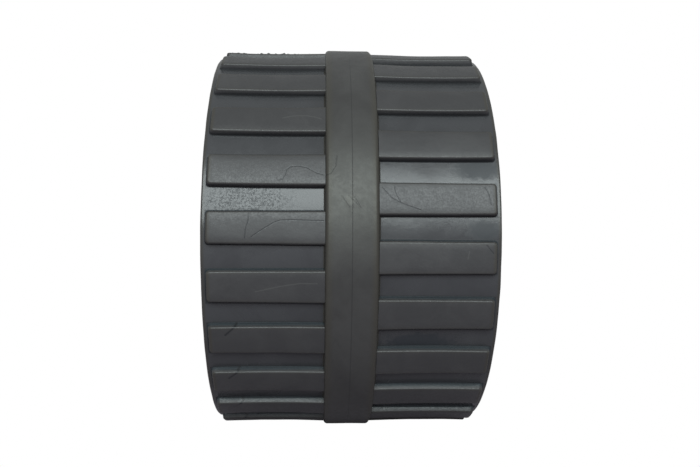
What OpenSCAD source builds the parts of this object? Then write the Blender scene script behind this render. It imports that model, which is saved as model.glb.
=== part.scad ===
// Endless rubber track for a small carrier, drawn as the round band it keeps when it is off its wheels.
// The band turns about the Y axis, with its centre at the origin. Angles run from +X (front) up towards +Z.
// "left" is the -Y side and "right" the +Y side, as the band is seen from its front.

/* [Track] */
// Diameter over the centre rib
track_d = 231; // [180:1:320]
// Width of the belt from edge to edge
track_w = 150; // [130:1:200]
// Number of lugs on each side, and of drive lugs inside
pitch_count = 24; // [16:2:24]
// Angle from the front to the middle of the first left lug
tread_turn = 2.4; // [0:0.1:15]

/* [Centre rib] */
// Height of the rib above the belt
rib_h = 5.3; // [3:0.1:8]
// Width of the rib where it meets the belt
rib_w = 27.8; // [20:0.1:36]
// Slope of the rib's side walls, in degrees
rib_draft = 8; // [2:1:20]
// Radius along the rib's top edges
rib_edge_r = 1.8; // [0.5:0.1:2.5]

/* [Lugs] */
// Height of a lug above the belt
lug_h = 3.6; // [2:0.1:7]
// Width of a lug's top face where it meets the rib
lug_w_in = 14.5; // [10:0.1:17]
// Width of a lug's top face at its outer end
lug_w_out = 12.5; // [8:0.1:16]
// Distance from a lug's outer end to the belt's edge
lug_setback = 2.6; // [1:0.1:8]
// Slope of a lug's side walls, in degrees
lug_draft = 11; // [2:1:20]
// Radius of a lug's outer corners, seen from above
lug_corner_r = 1.8; // [1:0.1:5]

/* [Belt layers] */
// Thickness of the tread cover, the outer rubber sheet
tread_t = 3.0; // [1.5:0.1:5]
// Thickness of each woven bias ply
ply_t = 0.8; // [0.4:0.1:1.5]
// Diameter of a steel cord
cord_d = 1.5; // [0.8:0.1:2.5]
// Distance between neighbouring turns of cord
cord_pitch = 4; // [3:0.1:8]
// Thickness of rubber between a cord and each ply
cord_cover = 0.2; // [0.15:0.05:1]
// Thickness of the inner cover
inner_t = 2.2; // [1.5:0.1:4]
// Width of the solid rubber edge beside the plies
edge_w = 5; // [3:0.5:10]
// Radius along the belt's own edges
belt_edge_r = 1.0; // [0.4:0.1:1.4]

/* [Inner face] */
// Thickness of each roller path
path_t = 1.5; // [0.8:0.1:3]
// Gap between a roller path and the belt's edge
path_setback = 8; // [4:0.5:12]
// Gap between a roller path and the foot of the drive lugs
path_gap = 9; // [4:0.5:14]
// Height of a drive lug above the inner cover
drive_h = 12; // [6:0.5:16]
// Width of a drive lug across the belt, at its foot
drive_w = 26; // [16:0.5:32]
// Length of a drive lug along the belt, at its foot
drive_l = 13; // [8:0.5:14]
// Slope of a drive lug's four walls, in degrees
drive_draft = 12; // [4:1:18]

/* [Hidden] */
$fn = 96;
cord_gap = 0.02;                          // room between a cord and its groove
cord_sides = 12;                          // a cord's section is drawn as a polygon
reach = 40;                               // length of a cutting block, larger than any lug

half_w = track_w / 2;
skim_t = cord_d + 2 * cord_cover;
rib_r = track_d / 2;
belt_r = rib_r - rib_h;                   // outer face of the tread cover
lug_r = belt_r + lug_h;
tread_in_r = belt_r - tread_t;            // tread cover on the outer ply
cord_out_r = tread_in_r - ply_t;          // outer ply on the skim
cord_in_r = cord_out_r - skim_t;          // skim on the inner ply
inner_out_r = cord_in_r - ply_t;          // inner ply on the inner cover
inner_r = inner_out_r - inner_t;          // inner face of the belt
path_r = inner_r - path_t;                // face that rollers run on
tip_r = inner_r - drive_h;                // tips of the drive lugs
ply_half = half_w - edge_w;
path_out = half_w - path_setback;
path_in = drive_w / 2 + path_gap;
path_w = path_out - path_in;

pitch_angle = 360 / pitch_count;
left_turn = tread_turn;
right_turn = tread_turn + pitch_angle / 2; // the two rows are half a pitch apart

rib_foot = rib_w / 2;
rib_top = rib_foot - rib_h * tan(rib_draft);
lug_out = half_w - lug_setback;
lug_inner = rib_top - rib_edge_r;         // lugs start inside the rib, and the rib is cut away from them
lug_spread = lug_h * tan(lug_draft);      // how much wider a lug is at its foot, on each side
lug_foot_in = lug_w_in / 2 + lug_spread;
lug_foot_out = lug_w_out / 2 + lug_spread;
lug_taper = atan((lug_foot_in - lug_foot_out) / (lug_out - rib_foot));
lug_corner = min(lug_corner_r, lug_w_out / 2);

cord_side = ply_half - cord_pitch;
cord_turns = floor(2 * cord_side / cord_pitch);
cord_r = cord_out_r - skim_t / 2;         // a cord's own circle round the belt
cord_first = -cord_turns * cord_pitch / 2;

function two(n) = n < 10 ? str("0", n) : str(n);
left_names = [for (i = [1:pitch_count]) str("left_lug_", two(i))];
right_names = [for (i = [1:pitch_count]) str("right_lug_", two(i))];
layer_names = ["tread_cover", "outer_ply", "cord_skim", "steel_cords", "inner_ply", "inner_cover",
    "left_edge_strip", "right_edge_strip", "left_roller_path", "right_roller_path", "drive_lugs",
    "centre_rib"];

// Turns a profile, drawn with X as the radius and Y as the place across the belt, about the Y axis.
module band() {
    rotate([-90, 0, 0]) rotate_extrude() children();
}

// A rectangular profile between two radii and two places across the belt.
module strip(r0, r1, y0, y1) {
    translate([r0, y0]) square([r1 - r0, y1 - y0]);
}

// A rectangular profile whose corners at its outer radius are rounded.
module strip_round_outside(r0, r1, y0, y1, c) {
    strip(r0, r1 - c, y0, y1);
    strip(r0, r1, y0 + c, y1 - c);
    for (y = [y0 + c, y1 - c]) translate([r1 - c, y]) circle(c);
}

// A rectangular profile whose corners at its inner radius are rounded.
module strip_round_inside(r0, r1, y0, y1, c) {
    strip(r0 + c, r1, y0, y1);
    strip(r0, r1, y0 + c, y1 - c);
    for (y = [y0 + c, y1 - c]) translate([r0 + c, y]) circle(c);
}

// The rib's section, running on below the belt's face: sloping walls, a flat top and rounded top edges.
module rib_profile() {
    corner_y = rib_top - rib_edge_r * tan(45 - rib_draft / 2);
    wall_y = corner_y + rib_edge_r * cos(rib_draft);
    wall_r = rib_r - rib_edge_r * (1 - sin(rib_draft));
    root_y = rib_foot + rib_h * tan(rib_draft);
    root_r = belt_r - rib_h;
    polygon([[root_r, -root_y], [wall_r, -wall_y], [rib_r, -corner_y],
        [rib_r, corner_y], [wall_r, wall_y], [root_r, root_y]]);
    for (side = [-1, 1]) translate([rib_r - rib_edge_r, side * corner_y]) circle(rib_edge_r);
}

// Outer rubber sheet, which the rib and lugs stand on.
module tread_cover() {
    color([0.11, 0.12, 0.13])
        band() strip_round_outside(tread_in_r, belt_r, -half_w, half_w, belt_edge_r);
}

// Woven ply between the tread cover and the cords.
module outer_ply() {
    color([0.45, 0.40, 0.30]) band() strip(cord_out_r, tread_in_r, -ply_half, ply_half);
}

// Rubber skim with a groove for each turn of cord, open towards the outer ply.
module cord_skim() {
    groove = (cord_d / 2 + cord_gap) / cos(180 / cord_sides);
    color([0.10, 0.10, 0.10]) band() difference() {
        strip(cord_in_r, cord_out_r, -ply_half, ply_half);
        for (i = [0:cord_turns]) translate([cord_r, cord_first + i * cord_pitch]) {
            circle(groove, $fn = cord_sides);
            translate([0, -groove]) square([skim_t, 2 * groove]);
        }
    }
}

// Steel cord that carries the pull, one ring for each turn round the belt.
module steel_cords() {
    color([0.62, 0.55, 0.38]) band() for (i = [0:cord_turns])
        translate([cord_r, cord_first + i * cord_pitch]) circle(d = cord_d, $fn = cord_sides);
}

// Woven ply between the cords and the inner cover.
module inner_ply() {
    color([0.45, 0.40, 0.30]) band() strip(inner_out_r, cord_in_r, -ply_half, ply_half);
}

// Inner rubber sheet, which carries the roller paths and the drive lugs.
module inner_cover() {
    color([0.10, 0.10, 0.11])
        band() strip_round_inside(inner_r, inner_out_r, -half_w, half_w, belt_edge_r);
}

// Solid rubber that closes the belt's edge beside the plies. side is -1 for left and 1 for right.
module edge_strip(side) {
    mid = side * (half_w - edge_w / 2);
    color([0.10, 0.10, 0.11]) band() strip(inner_out_r, tread_in_r, mid - edge_w / 2, mid + edge_w / 2);
}

// Raised path that the rollers run on.
module roller_path(side) {
    mid = side * (path_out + path_in) / 2;
    color([0.09, 0.09, 0.10]) band() strip(path_r, inner_r, mid - path_w / 2, mid + path_w / 2);
}

// One drive lug at the front: a block with four sloping walls, seated on the inner cover.
module drive_lug() {
    lean = min(drive_h * tan(drive_draft), drive_l / 2 - 1);
    foot_l = drive_l / 2;
    foot_w = drive_w / 2;
    intersection() {
        rotate([90, 0, 0]) translate([0, 0, -reach]) linear_extrude(2 * reach)
            polygon([[inner_r, -foot_l], [tip_r, -foot_l + lean], [tip_r, foot_l - lean], [inner_r, foot_l]]);
        translate([0, 0, -reach]) linear_extrude(2 * reach)
            polygon([[inner_r, -foot_w], [tip_r, -foot_w + lean], [tip_r, foot_w - lean], [inner_r, foot_w]]);
        rotate([-90, 0, 0]) cylinder(r = inner_r, h = 2 * reach, center = true);
    }
}

// Row of drive lugs along the middle of the inner face, one for each pitch.
module drive_lugs() {
    color([0.10, 0.10, 0.11]) for (i = [0:pitch_count - 1])
        rotate([0, -(tread_turn + i * pitch_angle), 0]) drive_lug();
}

// Rib round the middle of the tread.
module centre_rib() {
    color([0.15, 0.15, 0.15]) band() difference() {
        rib_profile();
        strip(belt_r - 2 * rib_h, belt_r, -rib_w, rib_w);
    }
}

// A lug's outline seen from above, with Y across the belt and rounded outer corners.
module lug_outline() {
    r = lug_corner;
    translate([-lug_foot_in, lug_inner]) square([2 * lug_foot_in, lug_out - r - lug_inner]);
    translate([-lug_foot_out + r, lug_inner]) square([2 * (lug_foot_out - r), lug_out - lug_inner]);
    for (side = [-1, 1]) translate([side * (lug_foot_out - r), lug_out - r]) circle(r);
}

// Block that cuts a lug's side wall, sloping inwards with height and tapering towards the outer end.
module lug_side_cut() {
    translate([belt_r, rib_foot, lug_foot_in]) rotate([-lug_taper, 0, 0]) rotate([0, -lug_draft, 0])
        translate([-reach, -2 * reach, 0]) cube([2 * reach, 2 * reach + track_w, reach]);
}

// One lug at the front, on the right side.
module lug() {
    difference() {
        intersection() {
            band() strip(belt_r, lug_r, lug_inner, lug_out);
            translate([belt_r - lug_h, 0, 0]) rotate([0, 90, 0]) linear_extrude(3 * lug_h) lug_outline();
        }
        lug_side_cut();
        mirror([0, 0, 1]) lug_side_cut();
        band() rib_profile();
    }
}

// Lugs of the left row, numbered upwards from the front.
module left_lug(i) {
    color([0.14, 0.14, 0.14])
        rotate([0, -(left_turn + (i - 1) * pitch_angle), 0]) mirror([0, 1, 0]) lug();
}

// Lugs of the right row.
module right_lug(i) {
    color([0.14, 0.14, 0.14]) rotate([0, -(right_turn + (i - 1) * pitch_angle), 0]) lug();
}

tread_cover();
outer_ply();
cord_skim();
steel_cords();
inner_ply();
inner_cover();
edge_strip(-1);  // left_edge_strip
edge_strip(1);  // right_edge_strip
roller_path(-1);  // left_roller_path
roller_path(1);  // right_roller_path
drive_lugs();
centre_rib();
for (i = [1:pitch_count]) {
    left_lug(i);
    right_lug(i);
}
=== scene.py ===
"""The visible pieces of a small endless rubber track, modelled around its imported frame."""

import math

import bmesh
import bpy
from mathutils import Matrix, Vector


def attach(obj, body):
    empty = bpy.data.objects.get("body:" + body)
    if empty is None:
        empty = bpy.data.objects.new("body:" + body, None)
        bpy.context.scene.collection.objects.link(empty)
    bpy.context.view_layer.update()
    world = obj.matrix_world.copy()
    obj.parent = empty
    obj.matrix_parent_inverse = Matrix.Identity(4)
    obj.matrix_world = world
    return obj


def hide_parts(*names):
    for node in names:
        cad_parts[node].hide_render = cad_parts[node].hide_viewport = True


bl_info = {
    "name": "Endless Rubber Track",
    "version": (1, 0, 0),
    "blender": (4, 5, 0),
    "location": "3D View > Sidebar > Track",
    "description": "Models the tread, lugs, rib and inner face of a small endless rubber track",
    "category": "Add Mesh",
}

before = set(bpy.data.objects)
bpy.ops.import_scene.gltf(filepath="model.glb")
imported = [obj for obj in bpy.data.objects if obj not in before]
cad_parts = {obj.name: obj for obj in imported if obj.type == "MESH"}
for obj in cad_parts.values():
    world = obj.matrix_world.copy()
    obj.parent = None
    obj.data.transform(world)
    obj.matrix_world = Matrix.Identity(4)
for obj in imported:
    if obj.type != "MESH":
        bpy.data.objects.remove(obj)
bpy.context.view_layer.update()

MM = 0.001
FULL_TURN = 2 * math.pi
AXIS = (0, 1, 0)
RING_STEPS = 288
SMOOTH_BELOW = math.radians(35)  # edges that turn less than this are shaded smooth
BURIED = 0.4 * MM  # how far a raised piece runs on into the sheet that it stands on
WAVE_SIZE = 18 * MM  # of the slight waves in the moulded faces
FOOT_STEPS = (30, 60, 82)  # degrees down the hollow quarter circle at a raised piece's foot
WHITE = (1.0, 1.0, 1.0, 1.0)
KEY_PLACE = (1.80, 0.0, 0.82)
KEY_SIZE = (1.6, 0.95)
CAMERA_PLACE = (0.4907, -0.0154, 0.0012)
CAMERA_AIM = (0.0, 0.0030, 0.00225)
CAMERA_ROLL = 0.0047  # radians
CAMERA_LENS = 39.53  # millimetres, on a sensor 36 mm wide


# ---------------------------------------------------------------- sizes read from the frame


def reach(node):
    """A node's least and greatest radius about the band's axis, and its two ends across the belt."""
    places = [v.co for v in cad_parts[node].data.vertices]
    radii = [math.hypot(p.x, p.z) for p in places]
    across = [p.y for p in places]
    return min(radii), max(radii), min(across), max(across)


def turn_of(places):
    """The angle from the front, upwards, to the middle of what lies at these places, and its width."""
    middle = sum(places, Vector()) / len(places)
    start = math.atan2(middle.z, middle.x)
    home = Matrix.Rotation(start, 3, "Y")
    offsets = [math.atan2(p.z, p.x) for p in (home @ place for place in places)]
    return start + (min(offsets) + max(offsets)) / 2, max(offsets) - min(offsets)


def lug_turn(node):
    """The angle from the front, upwards, to the middle of a lug."""
    return turn_of([v.co.copy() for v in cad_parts[node].data.vertices])[0]


def lug_top_width(node, outer_end):
    """The width of a lug's top face, at its outer end or where it meets the rib."""
    high = reach(node)[1]
    corners = [v.co.copy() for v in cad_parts[node].data.vertices
               if math.hypot(v.co.x, v.co.z) > high - 0.05 * MM]
    end = max(abs(p.y) for p in corners) if outer_end else min(abs(p.y) for p in corners)
    return turn_of([p for p in corners if abs(abs(p.y) - end) < 3 * MM])[1] * high


LEFT_LUGS = sorted(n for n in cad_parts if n.startswith("left_lug"))
RIGHT_LUGS = sorted(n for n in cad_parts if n.startswith("right_lug"))
PITCH = FULL_TURN / len(LEFT_LUGS)
COVER_IN, BELT_R, BELT_LEFT, BELT_RIGHT = reach("tread_cover")
RIB_R = reach("centre_rib")[1]
RIB_FOOT = reach("centre_rib")[3]
INNER_R = reach("inner_cover")[0]
CARCASS_IN = reach("inner_cover")[1]
LUG_R, LUG_START, LUG_END = reach("right_lug_01")[1:]
PLY_EDGE = reach("outer_ply")[3]


# ---------------------------------------------------------------- modelling by hand, in steps


def begin(shape, name, size, place):
    """Adds a plane or cube of this size at this place, turned nowhere, and opens it in edit mode."""
    for chosen in bpy.context.selected_objects:
        chosen.select_set(False)
    add = {"plane": bpy.ops.mesh.primitive_plane_add, "cube": bpy.ops.mesh.primitive_cube_add}[shape]
    add(size=1, location=place)
    piece = bpy.context.object
    piece.name = name
    piece.data.name = name
    piece.scale = size
    bpy.ops.object.transform_apply(location=True, rotation=True, scale=True)
    bpy.ops.object.mode_set(mode="EDIT")
    return piece


def pick(piece, kind, test):
    """Selects in edit mode the vertices, edges or faces whose middle and normal pass the test."""
    bpy.context.tool_settings.mesh_select_mode = (kind == "VERT", kind == "EDGE", kind == "FACE")
    bpy.ops.mesh.select_all(action="DESELECT")
    mesh = bmesh.from_edit_mesh(piece.data)
    mesh.normal_update()
    parts = {"VERT": mesh.verts, "EDGE": mesh.edges, "FACE": mesh.faces}[kind]
    for part in parts:
        ends = part.verts if kind != "VERT" else [part]
        middle = sum((v.co for v in ends), Vector()) / len(ends)
        if test(part, middle):
            part.select_set(True)
    mesh.select_flush_mode()
    bmesh.update_edit_mesh(piece.data)


def shift(by):
    """Moves what is selected."""
    bpy.ops.transform.translate(value=by)


def swell(by, about):
    """Scales what is selected about a point."""
    bpy.ops.transform.resize(value=by, center_override=about)


def round_off(radius, steps, corners=False):
    """Rounds the selected edges, or the selected corners of a flat section."""
    bpy.ops.mesh.bevel(offset=radius, segments=steps, profile=0.5, clamp_overlap=False,
                       affect="VERTICES" if corners else "EDGES")


def draw_out(by):
    """Extrudes what is selected and moves it."""
    bpy.ops.mesh.extrude_region_move(TRANSFORM_OT_translate={"value": by})


def is_near(a, b):
    return abs(a - b) < 0.02 * MM


def extent(edge):
    """How far an edge runs along each of the three axes."""
    start, end = edge.verts
    return [abs(part) for part in start.co - end.co]


def outline_only():
    """Turns the faces of a section into one closed outline."""
    bpy.ops.mesh.select_all(action="SELECT")
    if len(bmesh.from_edit_mesh(bpy.context.object.data).faces) > 1:
        bpy.ops.mesh.dissolve_faces()
        bpy.ops.mesh.select_all(action="SELECT")
    bpy.ops.mesh.delete(type="ONLY_FACE")


def divide(piece, test, cuts):
    """Cuts the edges that pass the test into shorter ones."""
    pick(piece, "EDGE", test)
    bpy.ops.mesh.subdivide(number_cuts=cuts)


def close_edit():
    bpy.ops.object.mode_set(mode="OBJECT")


def only(piece):
    """Makes a piece the one that operators act on."""
    for chosen in bpy.context.selected_objects:
        chosen.select_set(False)
    piece.select_set(True)
    bpy.context.view_layer.objects.active = piece


def modify(piece, kind, **settings):
    """Adds a modifier with these settings and applies it."""
    only(piece)
    made = piece.modifiers.new(kind.title(), kind)
    for name, value in settings.items():
        setattr(made, name, value)
    bpy.ops.object.modifier_apply(modifier=made.name)


def make_uneven(piece, height):
    """Gives a moulded face its slight waves, by moving its surface in and out."""
    waves = bpy.data.textures.get("Waves") or bpy.data.textures.new("Waves", "CLOUDS")
    waves.noise_scale = WAVE_SIZE
    waves.noise_depth = 1
    modify(piece, "DISPLACE", texture=waves, strength=height, mid_level=0.5, texture_coords="LOCAL")


def smooth(piece):
    only(piece)
    bpy.ops.object.shade_smooth_by_angle(angle=SMOOTH_BELOW)


def spin_round(piece, waviness=0.0):
    """Spins the outline all the way round the band's axis, closes the seam and smooths the surface."""
    bpy.ops.mesh.select_all(action="SELECT")
    bpy.ops.mesh.spin(steps=RING_STEPS, angle=FULL_TURN, center=(0, 0, 0), axis=AXIS)
    bpy.ops.mesh.select_all(action="SELECT")
    bpy.ops.mesh.remove_doubles(threshold=0.004 * MM)
    bpy.ops.mesh.normals_make_consistent(inside=False)
    close_edit()
    if waviness:
        make_uneven(piece, waviness)
    smooth(piece)
    return piece


def settle(piece, slot, material, *nodes):
    """Puts a finished piece on the band, with its finish and the frame nodes that it stands for."""
    piece.data.materials.clear()
    piece.data.materials.append(material)
    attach(piece, "root")
    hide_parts(*nodes)


def copy_turned(piece, name, angle, mirrored=False):
    """Copies a piece with its own mesh, turned about the band's axis from the front upwards."""
    only(piece)
    bpy.ops.object.duplicate(linked=False)
    made = bpy.context.object
    made.name = name
    made.data.name = name
    if mirrored:
        made.scale = (1, -1, 1)
        bpy.ops.object.transform_apply(location=False, rotation=False, scale=True)
        bpy.ops.object.mode_set(mode="EDIT")
        bpy.ops.mesh.select_all(action="SELECT")
        bpy.ops.mesh.normals_make_consistent(inside=False)
        close_edit()
    made.rotation_euler = (0, -angle, 0)
    bpy.ops.object.transform_apply(location=False, rotation=True, scale=False)
    return made


def sink(piece, depth, test=lambda at: True):
    """Lowers the tread between the rib and the belt's edges, where the moulding shrank most."""
    stations = sorted({round(v.co.y, 5) for v in bmesh.from_edit_mesh(piece.data).verts})
    for station in stations:
        share = (abs(station) - RIB_FOOT) / (BELT_RIGHT - RIB_FOOT)
        if 0 < share < 1:
            pick(piece, "VERT", lambda v, at: round(at.y, 5) == station and test(at))
            shift((-4 * depth * share * (1 - share), 0, 0))


def foot_steps(fillet):
    """Steps down a hollow fillet at a foot: each one's drop, the height left and how far it flares."""
    left = fillet
    for degrees in FOOT_STEPS:
        turn = math.radians(degrees)
        drop = left - fillet * (1 - math.sin(turn))
        left -= drop
        yield drop, left, fillet * (1 - math.cos(turn))


# ---------------------------------------------------------------- pieces


def model_sheet(name, low, high, face, sizes):
    """Outer or inner sheet: a section with two rounded corners on its open face, spun round."""
    piece = begin("plane", name, (high - low, BELT_RIGHT - BELT_LEFT, 1), ((low + high) / 2, 0, 0))
    pick(piece, "VERT", lambda v, at: is_near(at.x, face))
    round_off(sizes.belt_edge_radius, 5, corners=True)
    outline_only()
    divide(piece, lambda e, at: abs(at.y) < 1 * MM, 40)
    if is_near(face, BELT_R):
        sink(piece, sizes.sag, lambda at: is_near(at.x, face))
    return spin_round(piece, sizes.waviness)


def model_centre_rib(sizes):
    """Rib: a tapered section with rounded top corners, a hollow foot fillet and a parting groove."""
    foot = sizes.foot_fillet
    low = BELT_R + foot
    lean = math.tan(sizes.rib_draft)
    half = RIB_FOOT - foot * lean
    piece = begin("plane", "centre_rib_rubber", (RIB_R - low, 2 * half, 1), ((low + RIB_R) / 2, 0, 0))
    pick(piece, "VERT", lambda v, at: is_near(at.x, RIB_R))
    swell((1, 1 - (RIB_R - low) * lean / half, 1), (RIB_R, 0, 0))
    pick(piece, "VERT", lambda v, at: is_near(at.x, RIB_R))
    round_off(sizes.rib_edge_radius, 6, corners=True)
    pick(piece, "EDGE", lambda e, at: is_near(at.x, low))
    level, wide = low, half
    for drop, left, flare in foot_steps(foot):
        level -= drop
        draw_out((-drop, 0, 0))
        swell((1, (half + flare) / wide, 1), (level, 0, 0))
        wide = half + flare
    draw_out((-left - BURIED, 0, 0))
    outline_only()
    divide(piece, lambda e, at: at.x > RIB_R - 0.1 * MM and abs(at.y) < 1 * MM, 12)
    divide(piece, lambda e, at: at.x > RIB_R - 0.1 * MM and abs(at.y) < 0.1 * MM, 7)
    pick(piece, "VERT", lambda v, at: at.x > RIB_R - 0.1 * MM and abs(at.y) < 0.05 * MM)
    shift((-sizes.parting_depth, 0, 0))
    return spin_round(piece, sizes.waviness)


def model_lug(sizes, sag):
    """Right-hand lug at the front: a block, tapered, drafted, rounded, flared at its foot and bent."""
    fillet = sizes.foot_fillet
    height = LUG_R - BELT_R
    length = LUG_END - LUG_START
    lean = math.tan(sizes.lug_draft)
    wide = lug_top_width("right_lug_01", False) + 2 * lean * (height - fillet)
    slim = lug_top_width("right_lug_01", True) + 2 * lean * (height - fillet)
    middle = ((fillet + height) / 2, (LUG_START + LUG_END) / 2, 0)
    piece = begin("cube", "lug_pattern", (height - fillet, length, wide), middle)
    pick(piece, "VERT", lambda v, at: is_near(at.y, LUG_END))
    swell((1, 1, slim / wide), (0, LUG_END, 0))
    pick(piece, "VERT", lambda v, at: is_near(at.x, height))
    swell((1, 1, 1 - 2 * lean * (height - fillet) / wide), (height, 0, 0))
    pick(piece, "VERT", lambda v, at: is_near(at.x, height) and is_near(at.y, LUG_END))
    shift((0, -lean * (height - fillet), 0))
    # cuts along and across, for the bend and the waves; none falls inside the rounded corners
    divide(piece, lambda e, at: extent(e)[1] > length / 2, 13)
    divide(piece, lambda e, at: extent(e)[2] > slim / 3, 3)
    pick(piece, "EDGE", lambda e, at: at.y > LUG_END - 1 * MM and abs(at.z) > slim / 3
         and extent(e)[0] > 1 * MM)
    round_off(sizes.lug_corner_radius, 6)
    pick(piece, "EDGE", lambda e, at: is_near(at.x, height) and any(f.normal.x < 0.6 for f in e.link_faces)
         and at.y > LUG_START + 0.1 * MM)
    round_off(sizes.lug_edge_radius, 4)
    pick(piece, "FACE", lambda f, at: f.normal.x < -0.9)
    out_wide, out_long = wide, length
    for drop, left, flare in foot_steps(fillet):
        draw_out((-drop, 0, 0))
        swell((1, (length + flare) / out_long, (wide + 2 * flare) / out_wide), (left, LUG_START, 0))
        out_wide, out_long = wide + 2 * flare, length + flare
    draw_out((-left - BURIED, 0, 0))
    sink(piece, sag)
    close_edit()
    across = [v.co.z for v in piece.data.vertices]
    modify(piece, "SIMPLE_DEFORM", deform_method="BEND", deform_axis="Y",
           angle=-(max(across) - min(across)) / BELT_R)
    piece.location = (BELT_R, 0, 0)
    only(piece)
    bpy.ops.object.transform_apply(location=True, rotation=False, scale=False)
    return piece


def model_edge_strip(name, side, sizes):
    """Edge beside the plies: a flush band with a low parting ridge where the two mould halves met."""
    outer, inner = side * BELT_RIGHT, side * PLY_EDGE
    low = CARCASS_IN
    middle = ((low + COVER_IN) / 2, (outer + inner) / 2, 0)
    piece = begin("plane", name, (COVER_IN - low, abs(outer - inner), 1), middle)
    outline_only()
    divide(piece, lambda e, at: is_near(at.y, outer), 9)
    centre = (low + COVER_IN) / 2
    pick(piece, "VERT", lambda v, at: is_near(at.y, outer) and abs(at.x - centre) < 0.1 * MM)
    shift((0, side * sizes.parting_height, 0))
    return spin_round(piece)


def model_roller_path(name, node, sizes):
    """Raised path: rounded edges and two shallow grooves along its running face."""
    face, seat, y0, y1 = reach(node)
    middle = ((face + seat + BURIED) / 2, (y0 + y1) / 2, 0)
    piece = begin("plane", name, (seat + BURIED - face, y1 - y0, 1), middle)
    pick(piece, "VERT", lambda v, at: is_near(at.x, face))
    round_off(sizes.path_edge_radius, 4, corners=True)
    outline_only()
    divide(piece, lambda e, at: is_near(at.x, face), 29)
    for share in (1 / 3, 2 / 3):
        groove = y0 + (y1 - y0) * share
        pick(piece, "VERT", lambda v, at: is_near(at.x, face) and abs(at.y - groove) < 1.2 * MM)
        shift((sizes.groove_depth, 0, 0))
    return spin_round(piece)


def model_drive_lug(sizes):
    """Drive lug at the front: a block with sloping walls, rounded edges and a flared foot."""
    tip, _, y0, y1 = reach("drive_lugs")
    low = INNER_R - sizes.foot_fillet
    lean = math.tan(sizes.drive_draft)
    wide = y1 - y0 - 2 * lean * sizes.foot_fillet
    long = sizes.drive_length - 2 * lean * sizes.foot_fillet
    tall = low - tip
    piece = begin("cube", "drive_lug_pattern", (tall, wide, long), ((low + tip) / 2, 0, 0))
    pick(piece, "VERT", lambda v, at: is_near(at.x, tip))
    swell((1, 1 - 2 * lean * tall / wide, 1 - 2 * lean * tall / long), (tip, 0, 0))
    pick(piece, "EDGE", lambda e, at: extent(e)[0] > tall / 2)
    round_off(sizes.drive_corner_radius, 5)
    pick(piece, "EDGE", lambda e, at: is_near(at.x, tip))
    round_off(sizes.drive_edge_radius, 4)
    pick(piece, "FACE", lambda f, at: f.normal.x > 0.9)
    out_wide, out_long = wide, long
    for drop, left, flare in foot_steps(sizes.foot_fillet):
        draw_out((drop, 0, 0))
        swell((1, (wide + 2 * flare) / out_wide, (long + 2 * flare) / out_long), (INNER_R - left, 0, 0))
        out_wide, out_long = wide + 2 * flare, long + 2 * flare
    draw_out((left + BURIED, 0, 0))
    close_edit()
    smooth(piece)
    return piece


def model_flash(sizes, sag):
    """Ragged fin of rubber that a mould joint left along the upper edge of one lug."""
    length = LUG_END - LUG_START - 4 * MM
    tall = sizes.flash_height
    root = 2.0 * MM
    top = LUG_R - sag / 2
    place = (top - root / 2, -(LUG_START + LUG_END) / 2, 0)
    piece = begin("cube", "mould_flash", (root, length, sizes.flash_thickness), place)
    divide(piece, lambda e, at: extent(e)[1] > length / 2, 90)
    close_edit()
    ragged = bpy.data.textures.new("Ragged edge", "CLOUDS")
    ragged.noise_scale = 1.8 * MM
    ragged.noise_depth = 1
    edge = piece.vertex_groups.new(name="Edge")
    edge.add([v.index for v in piece.data.vertices if is_near(v.co.x, top)], 1.0, "REPLACE")
    modify(piece, "DISPLACE", texture=ragged, strength=3 * tall, mid_level=0.5, direction="X",
           texture_coords="LOCAL", vertex_group="Edge")
    smooth(piece)
    return piece


# ---------------------------------------------------------------- shader nodes


class Wire:
    """What a node gives out. Arithmetic on it adds the nodes that work the result out."""

    def __init__(self, socket):
        self.socket = socket
        self.tree = socket.id_data

    def __add__(self, other):
        return reckon("ADD", self, other)

    def __sub__(self, other):
        return reckon("SUBTRACT", self, other)

    def __rsub__(self, other):
        return reckon("SUBTRACT", other, self)

    def __mul__(self, other):
        return reckon("MULTIPLY", self, other)

    def __truediv__(self, other):
        return reckon("DIVIDE", self, other)

    def __rtruediv__(self, other):
        return reckon("DIVIDE", other, self)

    def __abs__(self):
        return reckon("ABSOLUTE", self)

    def __lt__(self, other):
        return reckon("LESS_THAN", self, other)

    def __gt__(self, other):
        return reckon("GREATER_THAN", self, other)


def put(tree, kind, links=None, **settings):
    """Adds a node with these settings, and links or sets the inputs that are named."""
    node = tree.nodes.new(kind)
    for name, value in settings.items():
        setattr(node, name, value)
    for socket, value in (links or {}).items():
        if isinstance(value, Wire):
            tree.links.new(value.socket, node.inputs[socket])
        else:
            node.inputs[socket].default_value = value
    return node


def wires(node):
    """Everything that a node gives out, by name."""
    return {socket.name: Wire(socket) for socket in node.outputs}


def reckon(operation, *values):
    """One step of arithmetic, on wires and plain numbers."""
    tree = next(value.tree for value in values if isinstance(value, Wire))
    return Wire(put(tree, "ShaderNodeMath", dict(enumerate(values)), operation=operation).outputs[0])


def fade(value, start, end, low=0.0, high=1.0):
    """Maps a value smoothly from start..end to low..high."""
    links = {"Value": value, "From Min": start, "From Max": end, "To Min": low, "To Max": high}
    return Wire(put(value.tree, "ShaderNodeMapRange", links, interpolation_type="SMOOTHSTEP").outputs[0])


def clouds(place, size, detail=3.0, roughness=0.5, distortion=0.0):
    """Cloudy noise whose features are about this size, in metres."""
    links = {"Vector": place, "Scale": 1 / size, "Detail": detail, "Roughness": roughness,
             "Distortion": distortion}
    return Wire(put(place.tree, "ShaderNodeTexNoise", links).outputs[0])


def mix(share, first, second):
    """Blends two colours."""
    node = put(share.tree, "ShaderNodeMix", {0: share, 6: first, 7: second}, data_type="RGBA")
    return Wire(node.outputs[2])


def strongest(masks):
    """The greatest of several masks."""
    result = masks[0]
    for mask in masks[1:]:
        result = reckon("MAXIMUM", result, mask)
    return result


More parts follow.
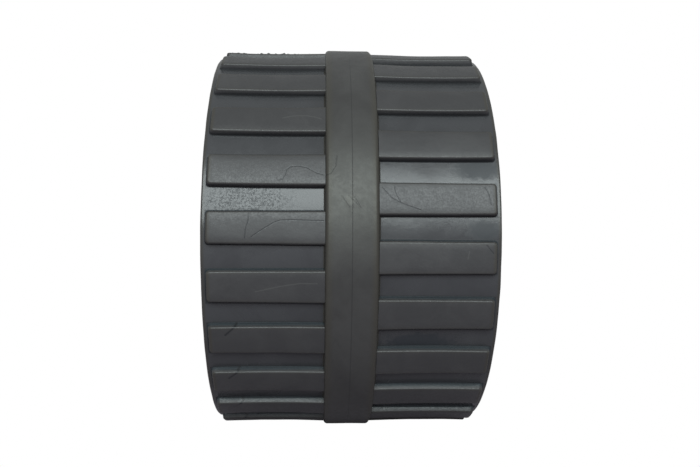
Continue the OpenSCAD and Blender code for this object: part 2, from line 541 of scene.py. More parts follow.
def arrange(tree):
    """Lays the nodes out in columns, from left to right in the order that they feed each other."""
    depth = {node: 0 for node in tree.nodes}
    for _ in range(len(depth)):
        for link in tree.links:
            depth[link.to_node] = max(depth[link.to_node], depth[link.from_node] + 1)
    rows = {}
    for node, column in depth.items():
        rows[column] = rows.get(column, 0) + 1
        node.location = (220 * column, -260 * rows[column])


# ---------------------------------------------------------------- node groups that the finishes share


def floats(*names):
    """Sockets that hold numbers."""
    return [(name, "Float") for name in names]


def new_group(name, takes, gives):
    """An empty node group with these sockets, each a name and a kind."""
    tree = bpy.data.node_groups.new(name, "ShaderNodeTree")
    for direction, sockets in (("INPUT", takes), ("OUTPUT", gives)):
        for label, kind in sockets:
            tree.interface.new_socket(name=label, in_out=direction, socket_type="NodeSocket" + kind)
    return tree, wires(put(tree, "NodeGroupInput"))


def end_group(tree, results):
    """Links a group's results to its outputs."""
    put(tree, "NodeGroupOutput", results)
    arrange(tree)
    return tree


def place_group(name):
    """Position on the band: distance round the tread from the front, and place across the belt."""
    tree, given = new_group(name, [("Position", "Vector")], floats("Turn", "Around", "Across", "Radius"))
    apart = wires(put(tree, "ShaderNodeSeparateXYZ", {"Vector": given["Position"]}))
    turn = reckon("ARCTAN2", apart["Z"], apart["X"])
    radius = reckon("SQRT", apart["X"] * apart["X"] + apart["Z"] * apart["Z"])
    return end_group(tree, {"Turn": turn, "Around": turn * LUG_R, "Across": apart["Y"], "Radius": radius})


def grain_group(name):
    """Skin that the mould left: a fine grain over soft dimples, as a height from 0 to 1."""
    tree, given = new_group(name, [("Position", "Vector")] + floats("Dimples"), floats("Height", "Fine"))
    fine = clouds(given["Position"], 0.35 * MM, 2.0, 0.6)
    soft = clouds(given["Position"], 2.4 * MM, 3.0, 0.55)
    broad = clouds(given["Position"], 9 * MM, 2.0, 0.5)
    return end_group(tree, {"Height": (soft + broad) * given["Dimples"] + fine * 0.12, "Fine": fine})


def bloom_group(name):
    """Patches where wax has come to the rubber's surface, from 0 to 1."""
    tree, given = new_group(name, [("Position", "Vector")] + floats("Size"), floats("Patches", "Mottle"))
    links = {"Vector": given["Position"], "Scale": 1.0 / given["Size"], "Detail": 4.0, "Roughness": 0.6,
             "Distortion": 0.6}
    large = Wire(put(tree, "ShaderNodeTexNoise", links).outputs[0])
    small = clouds(given["Position"], 3.2 * MM, 5.0, 0.65, 0.4)
    return end_group(tree, {"Patches": fade(large, 0.36, 0.66), "Mottle": fade(small, 0.34, 0.68)})


def speck_group(name):
    """Scattered specks of dust: a few of the cells hold one each."""
    tree, given = new_group(name, [("Position", "Vector")] + floats("Share", "Size"), floats("Mask"))
    cells = wires(put(tree, "ShaderNodeTexVoronoi", {"Vector": given["Position"], "Scale": 1 / (3 * MM)}))
    chance = Wire(put(tree, "ShaderNodeSeparateColor", {"Color": cells["Color"]}).outputs[0])
    return end_group(tree, {"Mask": (chance < given["Share"]) * (cells["Distance"] < given["Size"])})


def line_group(name):
    """A hair-thin bowed line between two places on the unrolled tread, 1 on the line and 0 off it."""
    takes = floats("Around", "Across", "From Around", "From Across", "To Around", "To Across", "Bow", "Width")
    tree, given = new_group(name, takes, floats("Mask"))
    run_a = given["To Around"] - given["From Around"]
    run_c = given["To Across"] - given["From Across"]
    off_a = given["Around"] - given["From Around"]
    off_c = given["Across"] - given["From Across"]
    length2 = run_a * run_a + run_c * run_c
    share = (off_a * run_a + off_c * run_c) / length2
    inside = reckon("COMPARE", share, 0.5, 0.5)
    side = (off_a * run_c - off_c * run_a) / reckon("SQRT", length2)
    arch = (share * (1.0 - share)) * (given["Bow"] * 4.0)
    core = 1.0 - abs(side - arch) / given["Width"]
    core = Wire(put(tree, "ShaderNodeClamp", {"Value": core}).outputs[0])
    return end_group(tree, {"Mask": core * inside})


def patch_group(name):
    """A soft patch on the unrolled tread whose border follows a ragged noise."""
    takes = floats("Around", "Across", "Middle Around", "Middle Across", "Tall", "Wide", "Ragged")
    tree, given = new_group(name, takes, floats("Mask"))
    up = (given["Around"] - given["Middle Around"]) / given["Tall"]
    side = (given["Across"] - given["Middle Across"]) / given["Wide"]
    distance = reckon("SQRT", reckon("POWER", up, 2.0) + reckon("POWER", side, 2.0))
    return end_group(tree, {"Mask": fade(distance + given["Ragged"] * 0.35, 0.7, 1.3, 1.0, 0.0)})


def row_group(name):
    """Place within a row of lugs: distance from the middle of the nearest lug, round the tread."""
    tree, given = new_group(name, floats("Turn", "First"), floats("Offset", "Number"))
    steps = (given["Turn"] - given["First"]) / PITCH
    number = reckon("ROUND", steps)
    return end_group(tree, {"Offset": (steps - number) * (PITCH * LUG_R), "Number": number})


GROUPS = {"Place on the band": place_group, "Moulded skin": grain_group, "Surface bloom": bloom_group,
          "Dust specks": speck_group, "Hair line": line_group, "Patch": patch_group,
          "Place in a row": row_group}


def grouped(tree, name, links):
    """What a shared group gives for these inputs; the group is made the first time."""
    group = bpy.data.node_groups.get(name) or GROUPS[name](name)
    return wires(put(tree, "ShaderNodeGroup", links, node_tree=group))


# ---------------------------------------------------------------- finishes


LUG_HALF = lug_top_width("right_lug_01", False) / 2
LUG_TAPER = (LUG_HALF - lug_top_width("right_lug_01", True) / 2) / (LUG_END - RIB_FOOT)
HAIR_WIDTH = 0.42 * MM
NICK_WIDTH = 0.8 * MM
SPECK_SIZE = 0.06
CLOTH_THREADS = 900  # threads of the release cloth in one turn of the inner face
PLY_THREADS = 560  # threads of a ply in one turn of the band
CORD_TWISTS = 360  # twists of a cord's wires in one turn of the band
CORD_SHIFT = 3000.0  # how far on the twist is from cord to cord, in radians a metre
# patches of the base: degrees up from the front, place across, half height and half width
DULL_PATCHES = ((18.6, 64 * MM, 7 * MM, 14 * MM), (1.9, 66 * MM, 6 * MM, 10 * MM),
                (-29, 35 * MM, 6 * MM, 20 * MM))
GRAINY_PATCH = (9.6, -52 * MM, 9 * MM, 24 * MM)
RIB_SCUFF = (9.2, -1.4 * MM, 3 * MM, 2.5 * MM)


def unrolled(*marks):
    """Points on the tread from (degrees up from the front, millimetres across)."""
    return [(math.radians(degrees) * LUG_R, across * MM) for degrees, across in marks]


# marks on the tread; those of the lugs by side, -1 for the left row and 1 for the right
BASE_MARK = unrolled((5.1, 45.8), (4.7, 47.9), (3.8, 48.3), (3.4, 46.6))
RIB_HOOK = unrolled((15.5, -13.2), (16.0, -10.7), (18.1, -8.2), (20.8, -7.7))
RIB_SCRATCHES = (unrolled((10.4, -2.0), (7.5, 3.5)), unrolled((10.2, -5.3), (7.3, -1.4)),
                 unrolled((10.2, 0.6), (7.3, 4.0)))
LUG_MARKS = {
    -1: (unrolled((14.4, -36.7), (14.8, -34.6), (15.9, -33.4), (17.3, -32.6), (18.1, -31.0), (18.3, -26.9),
                  (17.8, -22.7), (16.4, -17.8), (15.8, -14.0)),
         unrolled((0.0, -49.7), (1.3, -46.1), (2.6, -42.0), (3.6, -38.8), (4.2, -35.6), (4.3, -30.7),
                  (4.1, -14.0)),
         unrolled((6.0, -50.8), (3.8, -51.4), (1.7, -52.6), (-0.3, -52.9))),
    1: (unrolled((12.8, 14.8), (11.3, 17.3), (10.1, 19.3), (8.9, 23.4), (8.1, 27.5), (6.9, 34.1)),
        unrolled((13.1, 20.9), (11.6, 21.4), (10.1, 22.6), (9.0, 23.8)),
        unrolled((13.0, 66.0), (11.6, 67.6), (9.6, 68.7), (8.4, 69.1)),
        unrolled((-1.7, 66.3), (-3.9, 70))),
}
PALE_MARKS = {
    -1: (unrolled((32.6, -35.7), (33.3, -30.7), (33.5, -26.6), (33.4, -22.5), (32.9, -18.3), (32.2, -15.3)),
         unrolled((-13.8, -48), (-12.4, -36), (-11.6, -26), (-11.6, -17))),
    1: (unrolled((13.3, 66.9), (12.0, 68.4), (10.0, 69.5), (8.8, 70.0)), unrolled((-3.2, 58), (-5.4, 57.2))),
}
# the cut across each low left lug: distance round the tread from the lug's middle, and place across
NICK = ((9.6 * MM, -56.9 * MM), (3.2 * MM, -63.7 * MM))


class Look:
    """A material as it is made: its shader, the place of a point on the band and the shared masks."""

    def __init__(self, name, bloom_size, dimples):
        self.material = bpy.data.materials.new(name)
        self.material.use_nodes = True
        self.colours = bpy.context.scene.track_colours
        self.tree = self.material.node_tree
        self.shader = self.tree.nodes["Principled BSDF"]
        self.position = wires(put(self.tree, "ShaderNodeTexCoord"))["Object"]
        self.place = self.shared("Place on the band", Position=self.position)
        if bloom_size:
            self.bloom = self.shared("Surface bloom", Position=self.position, Size=bloom_size)
        self.skin = self.shared("Moulded skin", Position=self.position, Dimples=dimples)

    def shared(self, name, **links):
        """What a shared group gives in this material."""
        return grouped(self.tree, name, links)

    def specks(self, share):
        """The mask of the dust specks."""
        return self.shared("Dust specks", Position=self.position, Share=share, Size=SPECK_SIZE)["Mask"]

    def row(self, nodes):
        """Place within this row of lugs."""
        return self.shared("Place in a row", Turn=self.place["Turn"], First=lug_turn(nodes[0]))

    def patch(self, degrees, across, tall, wide, ragged):
        """A soft-edged patch on the tread, its middle at this angle and place across."""
        links = {"Around": self.place["Around"], "Across": self.place["Across"],
                 "Middle Around": math.radians(degrees) * LUG_R, "Middle Across": across,
                 "Tall": tall, "Wide": wide, "Ragged": ragged}
        return grouped(self.tree, "Patch", links)["Mask"]

    def line(self, points, width=HAIR_WIDTH, around=None):
        """The mask of a line through these points, each (distance round the tread, place across)."""
        masks = []
        for start, end in zip(points, points[1:]):
            links = {"Around": around or self.place["Around"], "Across": self.place["Across"],
                     "From Around": start[0], "From Across": start[1],
                     "To Around": end[0], "To Across": end[1], "Bow": 0.0, "Width": width}
            masks.append(grouped(self.tree, "Hair line", links)["Mask"])
        return strongest(masks)

    def lines(self, marks):
        """The mask of several lines."""
        return strongest([self.line(mark) for mark in marks])

    def complete(self, colour, roughness, height, distance):
        """Links colour, roughness and a bump to the shader."""
        self.tree.links.new(colour.socket, self.shader.inputs["Base Color"])
        self.tree.links.new(roughness.socket, self.shader.inputs["Roughness"])
        bump = put(self.tree, "ShaderNodeBump", {"Height": height, "Strength": 1.0, "Distance": distance})
        self.tree.links.new(bump.outputs["Normal"], self.shader.inputs["Normal"])
        arrange(self.tree)
        return self.material


def layered(colour, *layers):
    """A colour with others laid over it in turn, each with its mask and strength."""
    for mask, strength, over in layers:
        colour = mix(mask * strength, colour, over)
    return colour


def foot_shade(look, out):
    """The mask of the painted shade on the belt round each lug's foot, wider below the lugs of the lower half
    and fainter on the upper half.
    """
    turn = look.place["Turn"]
    narrowing = (out - RIB_FOOT) * LUG_TAPER
    low_down = fade(turn, -0.5, -0.05, 1.0, 0.0)
    lines = []
    for nodes, side in ((LEFT_LUGS, -1), (RIGHT_LUGS, 1)):
        offset = look.row(nodes)["Offset"]
        beside = abs(offset) + narrowing
        own_side = look.place["Across"] * side > 0.0
        # the painted shade widens below each lug of the lower half, where the lug shades the belt
        beside = beside - (offset < 0.0) * low_down * (1.6 * MM)
        near = fade(beside, LUG_HALF + 1.0 * MM, LUG_HALF + 1.9 * MM, 1.0, 0.0)
        # the painted shade is fainter on the upper half, which the light reaches
        near = near * (out < LUG_END + 0.6 * MM) * fade(turn, -0.3, 0.3, 1.0, 0.25)
        lines.append(near * own_side)
    return strongest(lines)


def base_finish():
    """Satin rubber of the belt between the lugs, with cloudy and grainy patches of bloom and painted shade
    round each lug's foot.
    """
    look = Look("Base rubber", 26 * MM, 0.4)
    colours = look.colours
    ragged = look.bloom["Mottle"]
    dull = strongest([look.patch(*spot, ragged) for spot in DULL_PATCHES])
    grainy = look.patch(*GRAINY_PATCH, ragged)
    grains = grainy * fade(clouds(look.position, 1.1 * MM, 3.0, 0.8), 0.46, 0.58)
    out = abs(look.place["Across"])
    # painted shade round each lug's foot, darker and duller than the belt
    grime_and_shade = foot_shade(look, out)
    rim = fade(out, BELT_RIGHT - 2.2 * MM, BELT_RIGHT - 1.0 * MM)
    colour = mix(look.bloom["Patches"], colours.base_dark, colours.base_pale)
    colour = layered(colour, (dull, 0.7, colours.dull_patch), (grains, 0.6, colours.grains),
                     (grime_and_shade, 0.75, colours.grime_and_shade), (rim, 0.7, colours.border),
                     (look.specks(0.015), 1.0, colours.dust), (look.line(BASE_MARK), 0.6, colours.grime_and_shade))
    roughness = fade(look.bloom["Patches"], 0.0, 1.0, 0.24, 0.28)
    roughness = roughness + dull * 0.22 + grime_and_shade * 0.4 + grains * 0.22 - grainy * 0.03
    height = look.skin["Height"] - grains * 0.12
    return look.complete(colour, roughness, height, 0.10 * MM)


def rib_finish():
    """Rubber of the rib: grey, olive along both edges, with a parting line, scratches and a hook mark."""
    look = Look("Rib rubber", 30 * MM, 0.4)
    colours = look.colours
    middle = abs(look.place["Across"])
    border = fade(middle, RIB_FOOT - 5.5 * MM, RIB_FOOT - 1.4 * MM)
    hook = look.line(RIB_HOOK)
    scratches = look.lines(RIB_SCRATCHES)
    scuff = look.patch(*RIB_SCUFF, look.bloom["Mottle"])
    seam = fade(middle, 0.08 * MM, 0.4 * MM, 1.0, 0.0)
    colour = mix(look.bloom["Patches"], colours.rib_dark, colours.rib_pale)
    colour = layered(colour, (border, 0.8, colours.border), (scuff, 0.5, colours.scuff),
                     (hook, 0.75, colours.grime_and_shade), (scratches, 0.45, colours.grime_and_shade),
                     (seam, 0.35, colours.grime_and_shade), (look.specks(0.02), 1.0, colours.dust))
    roughness = fade(look.bloom["Mottle"], 0.0, 1.0, 0.42, 0.48)
    height = look.skin["Height"] - strongest([hook, scratches]) * 0.5
    look.shader.inputs["Specular Tint"].default_value = colours.rib_gloss
    return look.complete(colour, roughness, height, 0.12 * MM)


def lug_finish(side):
    """Rubber of one row of lugs: grey tops with olive borders, painted sheen and shade on the walls, painted
    shade at the foot, and the hair lines of that side.
    """
    look = Look("Lug rubber, " + ("right" if side > 0 else "left"), 20 * MM, 0.45)
    colours = look.colours
    radius = look.place["Radius"]
    offset = look.row(RIGHT_LUGS if side > 0 else LEFT_LUGS)["Offset"]
    out = abs(look.place["Across"])
    beside = abs(offset) + (out - RIB_FOOT) * LUG_TAPER
    edge = fade(beside, LUG_HALF - 1.8 * MM, LUG_HALF - 0.5 * MM)
    outer = fade(out, LUG_END - 3.0 * MM, LUG_END - 1.4 * MM)
    on_top = fade(radius, LUG_R - 1.3 * MM, LUG_R - 0.7 * MM)
    border = strongest([edge * 0.35, outer]) * on_top
    # the walls are painted: a bluish painted reflection on the upper walls, and painted shade on the walls
    # that face down
    wall_sheen = fade(radius, BELT_R + 0.2 * MM, LUG_R - 1.2 * MM, 1.0, 0.0)
    # painted shade in the hollow at each lug's foot, which is made rougher as well
    foot = fade(radius, BELT_R + 0.1 * MM, BELT_R + 0.9 * MM, 1.0, 0.0)
    underside_shade = fade(offset, -3 * MM, 3 * MM, 1.0, 0.0)
    marks = look.lines(LUG_MARKS[side])
    colour = mix(look.bloom["Patches"], colours.lug_dark, colours.lug_pale)
    colour = layered(colour, (border, 0.8, colours.border), (marks, 0.9, colours.grime_and_shade),
                     (look.lines(PALE_MARKS[side]), 0.5, colours.pale_marks),
                     (wall_sheen, 0.85, mix(underside_shade, colours.wall_sheen, colours.grime_and_shade)), (foot, 0.5, colours.grime_and_shade))
    if side < 0:
        low_down = fade(look.place["Turn"], -0.4, -0.3, 1.0, 0.0)
        nick = look.line(NICK, NICK_WIDTH, offset) * low_down
        colour = layered(colour, (nick, 1.0, colours.grime_and_shade))
        marks = strongest([marks, nick])
    colour = layered(colour, (look.specks(0.015), 1.0, colours.dust))
    roughness = fade(look.bloom["Mottle"], 0.0, 1.0, 0.41, 0.45)
    speckle = fade(clouds(look.position, 0.9 * MM, 3.0, 0.7), 0.4, 0.6, -0.05, 0.05)
    roughness = roughness + speckle - wall_sheen * 0.14 + foot * 0.5
    height = look.skin["Height"] - marks * 0.5
    return look.complete(colour, roughness, height, 0.12 * MM)


def inner_finish():
    """Rubber of the inner face: darker and more matt, with the imprint of a release cloth."""
    look = Look("Inner rubber", 30 * MM, 0.4)
    thread = FULL_TURN * INNER_R / CLOTH_THREADS
    warp = reckon("SINE", look.place["Turn"] * CLOTH_THREADS)
    weft = reckon("SINE", look.place["Across"] * (FULL_TURN / thread))
    on_face = fade(look.place["Radius"], INNER_R - 0.8 * MM, INNER_R - 0.2 * MM)
    weave = (warp * weft) * (on_face * 0.35)
    colour = mix(look.bloom["Patches"], look.colours.inner_dark, look.colours.inner_pale)
    roughness = fade(look.bloom["Mottle"], 0.0, 1.0, 0.55, 0.68)
    return look.complete(colour, roughness, look.skin["Height"] + weave, 0.12 * MM)


def skim_finish():
    """Black rubber between the cords."""
    look = Look("Skim rubber", 12 * MM, 0.6)
    colour = mix(look.bloom["Mottle"], look.colours.skim_dark, look.colours.skim_pale)
    roughness = fade(look.bloom["Patches"], 0.0, 1.0, 0.60, 0.75)
    return look.complete(colour, roughness, look.skin["Height"], 0.1 * MM)


def ply_finish():
    """Tan cord fabric, its threads laid on the bias and dipped in rubber."""
    look = Look("Ply fabric", 14 * MM, 0.3)
    colours = look.colours
    lay = look.place["Turn"] * PLY_THREADS + look.place["Across"] * (PLY_THREADS / CARCASS_IN)
    thread = fade(reckon("SINE", lay), -1.0, 1.0)
    colour = mix(thread, colours.ply_dark, colours.ply_pale)
    colour = layered(colour, (look.bloom["Patches"], 0.4, colours.ply_dip))
    roughness = fade(thread, 0.0, 1.0, 0.85, 0.7)
    return look.complete(colour, roughness, thread + look.skin["Fine"] * 0.2, 0.2 * MM)


def cord_finish():
    """Brass-coated steel cord, with the twist of its wires."""
    look = Look("Cord steel", None, 0.2)
    lay = look.place["Turn"] * CORD_TWISTS + look.place["Across"] * CORD_SHIFT
    wire = fade(reckon("SINE", lay), -1.0, 1.0)
    colour = mix(wire, look.colours.cord_dark, look.colours.cord_pale)
    roughness = fade(wire, 0.0, 1.0, 0.45, 0.26)
    look.shader.inputs["Metallic"].default_value = 1.0
    return look.complete(colour, roughness, wire + look.skin["Fine"] * 0.2, 0.15 * MM)


def floor_finish():
    """Pale studio floor: near white as it is looked at, dimmer in what it throws back on the band."""
    material = bpy.data.materials.new("Studio floor")
    material.use_nodes = True
    tree = material.node_tree
    tree.nodes.remove(tree.nodes["Principled BSDF"])
    seen = put(tree, "ShaderNodeEmission", {"Color": WHITE, "Strength": 1.0}).outputs[0]
    lit = put(tree, "ShaderNodeBsdfDiffuse", {"Color": bpy.context.scene.track_stage.floor_colour}).outputs[0]
    path = put(tree, "ShaderNodeLightPath").outputs["Is Camera Ray"]
    shade = put(tree, "ShaderNodeMixShader", {0: Wire(path), 1: Wire(lit), 2: Wire(seen)}).outputs[0]
    tree.links.new(shade, tree.nodes["Material Output"].inputs["Surface"])
    arrange(tree)
    return material


def finish(name, make, *details):
    """A finish by name, made the first time that it is asked for."""
    return bpy.data.materials.get(name) or make(*details)


# ---------------------------------------------------------------- sizes and colours that can be changed


def length(name, description, default):
    return bpy.props.FloatProperty(name=name, description=description, default=default, min=0.0,
                                   precision=5, unit="LENGTH")


def slope(name, description, degrees):
    return bpy.props.FloatProperty(name=name, description=description, default=math.radians(degrees),
                                   min=0.0, subtype="ANGLE")


def amount(name, description, default):
    return bpy.props.FloatProperty(name=name, description=description, default=default, min=0.0)


def paint(name, description, red, green, blue):
    return bpy.props.FloatVectorProperty(name=name, description=description, subtype="COLOR", size=4,
                                         default=(red, green, blue, 1.0), min=0.0, max=1.0)


class TRACK_PG_tread(bpy.types.PropertyGroup):
    """Sizes of the tread cover and the edge strips."""
    belt_edge_radius: length("Edge radius", "Radius along the belt's own edges", 1.0 * MM)
    waviness: length("Waviness", "Height of the slight waves that the mould left", 0.35 * MM)
    sag: length("Sag", "How far the tread dips between the rib and the belt's edges", 0.55 * MM)
    parting_height: length("Parting ridge", "Height of the ridge where the mould halves met", 0.12 * MM)


class TRACK_PG_rib(bpy.types.PropertyGroup):
    """Sizes of the centre rib."""
    rib_draft: slope("Wall slope", "Slope of the rib's side walls", 8)
    rib_edge_radius: length("Edge radius", "Radius along the rib's top edges", 1.8 * MM)
    foot_fillet: length("Foot fillet", "Hollow radius where the rib meets the belt", 0.5 * MM)
    parting_depth: length("Parting line", "Depth of the fine groove along the middle of the rib", 0.08 * MM)
    waviness: length("Waviness", "Height of the slight waves that the mould left", 0.3 * MM)


class TRACK_PG_lugs(bpy.types.PropertyGroup):
    """Sizes of the lugs."""
    lug_draft: slope("Wall slope", "Slope of a lug's side walls", 11)
    lug_corner_radius: length("Corner radius", "Radius of a lug's outer corners, seen from above", 1.8 * MM)
    lug_edge_radius: length("Edge radius", "Radius along a lug's top edges", 0.8 * MM)
    foot_fillet: length("Foot fillet", "Hollow radius where a lug meets the belt", 0.5 * MM)
    waviness: length("Waviness", "Height of the slight waves that the mould left", 0.4 * MM)
    flash_height: length("Flash height", "Height of the ragged fin on one lug", 0.8 * MM)
    flash_thickness: length("Flash thickness", "Thickness of the ragged fin on one lug", 0.25 * MM)


class TRACK_PG_inner(bpy.types.PropertyGroup):
    """Sizes of the inner face."""
    belt_edge_radius: length("Edge radius", "Radius along the belt's inner edges", 1.0 * MM)
    waviness: length("Waviness", "Height of the slight waves that the mould left", 0.2 * MM)
    path_edge_radius: length("Path edge radius", "Radius along a roller path's edges", 0.6 * MM)
    groove_depth: length("Groove depth", "Depth of the two grooves along a roller path", 0.3 * MM)
    drive_length: length("Drive lug length", "Length of a drive lug along the belt, at its foot", 13 * MM)
    drive_draft: slope("Drive lug slope", "Slope of a drive lug's four walls", 12)
    drive_corner_radius: length("Drive lug corners", "Radius down a drive lug's corners", 2.0 * MM)
    drive_edge_radius: length("Drive lug tip", "Radius round a drive lug's tip", 1.2 * MM)
    foot_fillet: length("Foot fillet", "Hollow radius where a drive lug meets the cover", 1.2 * MM)


class TRACK_PG_colours(bpy.types.PropertyGroup):
    """Colours of the rubber, the fabric and the steel, with the painted shade and painted sheen on the
    rubber.
    """
    base_dark: paint("Belt, dark", "Darker tone of the belt between the lugs", 0.0405, 0.0408, 0.0440)
    base_pale: paint("Belt, pale", "Paler tone of the belt between the lugs", 0.0470, 0.0476, 0.0510)
    lug_dark: paint("Lugs, dark", "Darker tone of the lugs' tops", 0.0385, 0.0375, 0.0388)
    lug_pale: paint("Lugs, pale", "Paler tone of the lugs' tops", 0.0460, 0.0448, 0.0458)
    rib_dark: paint("Rib, dark", "Darker tone of the rib", 0.0350, 0.0336, 0.0342)
    rib_pale: paint("Rib, pale", "Paler tone of the rib", 0.0465, 0.0450, 0.0452)
    rib_gloss: paint("Rib gloss", "Tint of the light that glances off the rib", 1.0, 1.0, 0.92)
    border: paint("Border", "Olive tone along the edges of belt, rib and lugs", 0.041, 0.037, 0.030)
    # a bluish painted reflection of the key light, on the lugs' upper walls
    wall_sheen: paint("Lug wall sheen", "Tone of the lugs' upper walls", 0.024, 0.036, 0.044)
    # the hair lines and other marks, and also the painted shade on the lugs' lower walls, at their feet and
    # round them on the belt
    grime_and_shade: paint("Grime", "Marks, undersides and the line round each lug", 0.009, 0.010, 0.012)
    dull_patch: paint("Dull patches", "Patches of the belt that have lost their gloss", 0.016, 0.020, 0.025)
    grains: paint("Grains", "Grains in the bloomed patch of the belt", 0.014, 0.017, 0.019)
    scuff: paint("Scuff", "Rubbed patch on the rib", 0.085, 0.083, 0.076)
    pale_marks: paint("Pale marks", "Pale hair lines on the lugs", 0.09, 0.09, 0.085)
    dust: paint("Dust", "Specks of dust", 0.12, 0.12, 0.11)
    inner_dark: paint("Inner face, dark", "Darker tone of the inner face", 0.026, 0.026, 0.027)
    inner_pale: paint("Inner face, pale", "Paler tone of the inner face", 0.042, 0.042, 0.043)
    skim_dark: paint("Skim, dark", "Darker tone of the rubber between the cords", 0.014, 0.014, 0.014)
    skim_pale: paint("Skim, pale", "Paler tone of the rubber between the cords", 0.024, 0.024, 0.025)
    ply_dark: paint("Ply, dark", "Between the threads of the ply fabric", 0.10, 0.075, 0.045)
    ply_pale: paint("Ply, pale", "Threads of the ply fabric", 0.40, 0.32, 0.21)
    ply_dip: paint("Ply dip", "Rubber that the ply fabric was dipped in", 0.10, 0.085, 0.065)
    cord_dark: paint("Cord, dark", "Between the wires of a cord", 0.22, 0.15, 0.06)
    cord_pale: paint("Cord, pale", "Wires of a cord", 0.62, 0.48, 0.24)


class TRACK_PG_stage(bpy.types.PropertyGroup):
    """Lights of the studio."""
    key_power: amount("Key light", "Power of the large light in front, in watts", 31.0)
    key_colour: paint("Key colour", "Colour of the large light in front", 0.90, 1.0, 1.0)
    surround: amount("Surround", "Brightness of the surroundings as they light the band", 0.50)
    surround_colour: paint("Surround colour", "Colour of what the surroundings throw on the band",
                           0.96, 0.995, 1.0)
    floor_colour: paint("Floor colour", "Colour of what the floor throws back on the band",
                        0.41, 0.365, 0.41)


SECTIONS = {"track_tread": TRACK_PG_tread, "track_rib": TRACK_PG_rib, "track_lugs": TRACK_PG_lugs,
            "track_inner": TRACK_PG_inner, "track_colours": TRACK_PG_colours,
            "track_stage": TRACK_PG_stage}


# ---------------------------------------------------------------- operators


class TRACK_OT_tread(bpy.types.Operator):
    """Adds the tread cover and the two edge strips"""
    bl_idname = "track.add_tread"
    bl_label = "Tread Cover"

    def execute(self, context):
        sizes = context.scene.track_tread
        rubber = finish("Base rubber", base_finish)
        cover = model_sheet("tread_cover_rubber", COVER_IN, BELT_R, BELT_R, sizes)
        settle(cover, "base_rubber", rubber, "tread_cover")
        for name, side in (("left_edge_strip", -1), ("right_edge_strip", 1)):
            settle(model_edge_strip(name + "_rubber", side, sizes), "base_rubber", rubber, name)
        return {"FINISHED"}


class TRACK_OT_rib(bpy.types.Operator):
    """Adds the smooth rib round the middle of the tread"""
    bl_idname = "track.add_rib"
    bl_label = "Centre Rib"

    def execute(self, context):
        piece = model_centre_rib(context.scene.track_rib)
        settle(piece, "tread_rubber", finish("Rib rubber", rib_finish), "centre_rib")
        return {"FINISHED"}


class TRACK_OT_lugs(bpy.types.Operator):
    """Adds both rows of lugs and the ragged mould flash on one of them"""
    bl_idname = "track.add_lugs"
    bl_label = "Lugs"

    def execute(self, context):
        sizes = context.scene.track_lugs
        sag = context.scene.track_tread.sag
        pattern = model_lug(sizes, sag)
        for nodes, side, label in ((LEFT_LUGS, -1, "left"), (RIGHT_LUGS, 1, "right")):
            rubber = finish("Lug rubber, " + label, lug_finish, side)
            for node in nodes:
                lug = copy_turned(pattern, node + "_rubber", lug_turn(node), mirrored=side < 0)
                make_uneven(lug, sizes.waviness)
                smooth(lug)
                settle(lug, "tread_rubber", rubber, node)
        bpy.data.objects.remove(pattern)
        flash = model_flash(sizes, sag)
        crest = lug_turn("left_lug_06") + 0.46 * lug_top_width("left_lug_06", True) / LUG_R
        settle(copy_turned(flash, "left_lug_06_flash", crest), "tread_rubber",
               finish("Lug rubber, left", lug_finish, -1))
        bpy.data.objects.remove(flash)
        return {"FINISHED"}


class TRACK_OT_inner(bpy.types.Operator):
    """Adds the inner cover and the two roller paths"""
    bl_idname = "track.add_inner_face"
    bl_label = "Inner Face"

    def execute(self, context):
        sizes = context.scene.track_inner
        rubber = finish("Inner rubber", inner_finish)
        cover = model_sheet("inner_cover_rubber", INNER_R, CARCASS_IN, INNER_R, sizes)
        settle(cover, "inner_rubber", rubber, "inner_cover")
        for node in ("left_roller_path", "right_roller_path"):
            settle(model_roller_path(node + "_rubber", node, sizes), "inner_rubber", rubber, node)
        return {"FINISHED"}


class TRACK_OT_drive_lugs(bpy.types.Operator):
    """Adds the row of drive lugs along the middle of the inner face"""
    bl_idname = "track.add_drive_lugs"
    bl_label = "Drive Lugs"

    def execute(self, context):
        pattern = model_drive_lug(context.scene.track_inner)
        rubber = finish("Inner rubber", inner_finish)
        for number, node in enumerate(LEFT_LUGS, start=1):
            lug = copy_turned(pattern, "drive_lug_" + format(number, "02d"), lug_turn(node))
            settle(lug, "inner_rubber", rubber, "drive_lugs")
        bpy.data.objects.remove(pattern)
        return {"FINISHED"}


class TRACK_OT_carcass(bpy.types.Operator):
    """Gives the plies, the skim and the steel cords their finishes"""
    bl_idname = "track.finish_carcass"
    bl_label = "Carcass Finishes"

    def execute(self, context):
        finishes = {"outer_ply": finish("Ply fabric", ply_finish),
                    "inner_ply": finish("Ply fabric", ply_finish),
                    "cord_skim": finish("Skim rubber", skim_finish),
                    "steel_cords": finish("Cord steel", cord_finish)}
        for node, material in finishes.items():
            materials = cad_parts[node].data.materials
            materials.clear()
            materials.append(material)
        return {"FINISHED"}


class TRACK_OT_stage(bpy.types.Operator):
    """Adds the floor, the lights, the surroundings and the camera"""
    bl_idname = "track.add_stage"
    bl_label = "Studio"

    def execute(self, context):
        settings = context.scene.track_stage
        floor = model_floor()
        floor.data.materials.append(finish("Studio floor", floor_finish))
        add_light("Key light", KEY_PLACE, KEY_SIZE, settings.key_power, settings.key_colour[:3])
        surround(settings.surround, settings.surround_colour)
        aim_camera()
        return {"FINISHED"}


def model_floor():
    """Round flat floor that the band stands on."""
    bpy.ops.mesh.primitive_circle_add(vertices=96, radius=2.2, fill_type="NGON", location=(0, 0, -RIB_R))
    floor = bpy.context.object
    floor.name = "studio_floor"
    return floor


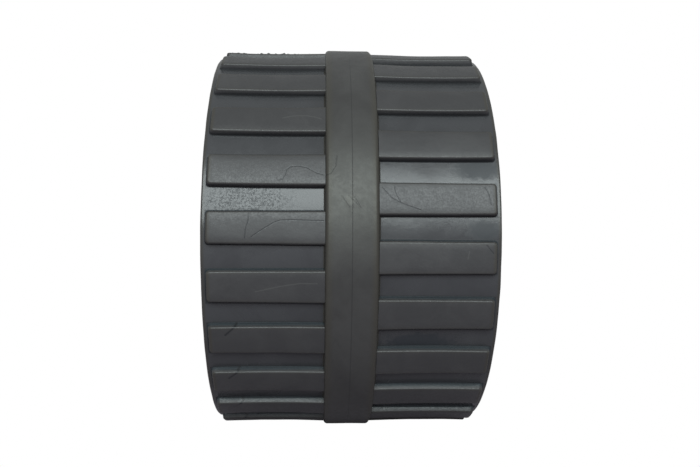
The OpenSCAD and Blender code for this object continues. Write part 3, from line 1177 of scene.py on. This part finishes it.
def add_light(name, location, size, power, colour):
    """A rectangular soft light that faces the middle of the band."""
    data = bpy.data.lights.new(name, "AREA")
    data.shape = "RECTANGLE"
    data.size, data.size_y = size
    data.energy = power
    data.color = colour
    light = bpy.data.objects.new(name, data)
    bpy.context.scene.collection.objects.link(light)
    light.location = location
    light.rotation_euler = (-Vector(location)).to_track_quat("-Z", "Y").to_euler()


def surround(brightness, colour):
    """White surroundings to the camera, dimmer in what they throw on the band."""
    world = bpy.data.worlds.new("Studio")
    bpy.context.scene.world = world
    world.use_nodes = True
    tree = world.node_tree
    seen = wires(put(tree, "ShaderNodeLightPath"))["Is Camera Ray"]
    strength = put(tree, "ShaderNodeMapRange", {"Value": seen, "To Min": brightness, "To Max": 1.0})
    tree.links.new(strength.outputs[0], tree.nodes["Background"].inputs["Strength"])
    tree.links.new(mix(seen, colour, WHITE).socket, tree.nodes["Background"].inputs["Color"])
    arrange(tree)


def aim_camera():
    """Level with the band's axis and a little to its left, looking straight at the tread."""
    data = bpy.data.cameras.new("Camera")
    data.lens = CAMERA_LENS
    data.sensor_width = 36.0
    camera = bpy.data.objects.new("Camera", data)
    bpy.context.scene.collection.objects.link(camera)
    camera.location = CAMERA_PLACE
    aim = Vector(CAMERA_AIM) - camera.location
    turned = aim.to_track_quat("-Z", "Y").to_matrix() @ Matrix.Rotation(CAMERA_ROLL, 3, "Z")
    camera.rotation_euler = turned.to_euler()
    bpy.context.scene.camera = camera
    bpy.context.scene.view_settings.view_transform = "Standard"


STEPS = (TRACK_OT_tread, TRACK_OT_rib, TRACK_OT_lugs, TRACK_OT_inner, TRACK_OT_drive_lugs,
         TRACK_OT_carcass, TRACK_OT_stage)


class TRACK_PT_panel(bpy.types.Panel):
    """Lists the steps that build the track, each above the sizes that it uses, and then the colours."""
    bl_label = "Rubber Track"
    bl_idname = "TRACK_PT_panel"
    bl_space_type = "VIEW_3D"
    bl_region_type = "UI"
    bl_category = "Track"

    def draw(self, context):
        sections = ("track_tread", "track_rib", "track_lugs", "track_inner", None, None, "track_stage",
                    "track_colours")
        for step, section in zip(STEPS + (None,), sections):
            box = self.layout.box()
            if step:
                box.operator(step.bl_idname)
            if section:
                settings = getattr(context.scene, section)
                for name in settings.__annotations__:
                    box.prop(settings, name)


def register():
    for section in SECTIONS.values():
        bpy.utils.register_class(section)
    for step in STEPS:
        bpy.utils.register_class(step)
    bpy.utils.register_class(TRACK_PT_panel)
    for name, section in SECTIONS.items():
        setattr(bpy.types.Scene, name, bpy.props.PointerProperty(type=section))


def unregister():
    for name in SECTIONS:
        delattr(bpy.types.Scene, name)
    bpy.utils.unregister_class(TRACK_PT_panel)
    for step in reversed(STEPS):
        bpy.utils.unregister_class(step)
    for section in reversed(SECTIONS.values()):
        bpy.utils.unregister_class(section)


def main():
    register()
    bpy.ops.track.add_tread()
    bpy.ops.track.add_rib()
    bpy.ops.track.add_lugs()
    bpy.ops.track.add_inner_face()
    bpy.ops.track.add_drive_lugs()
    bpy.ops.track.finish_carcass()
    bpy.ops.track.add_stage()


if __name__ == "__main__":
    main()
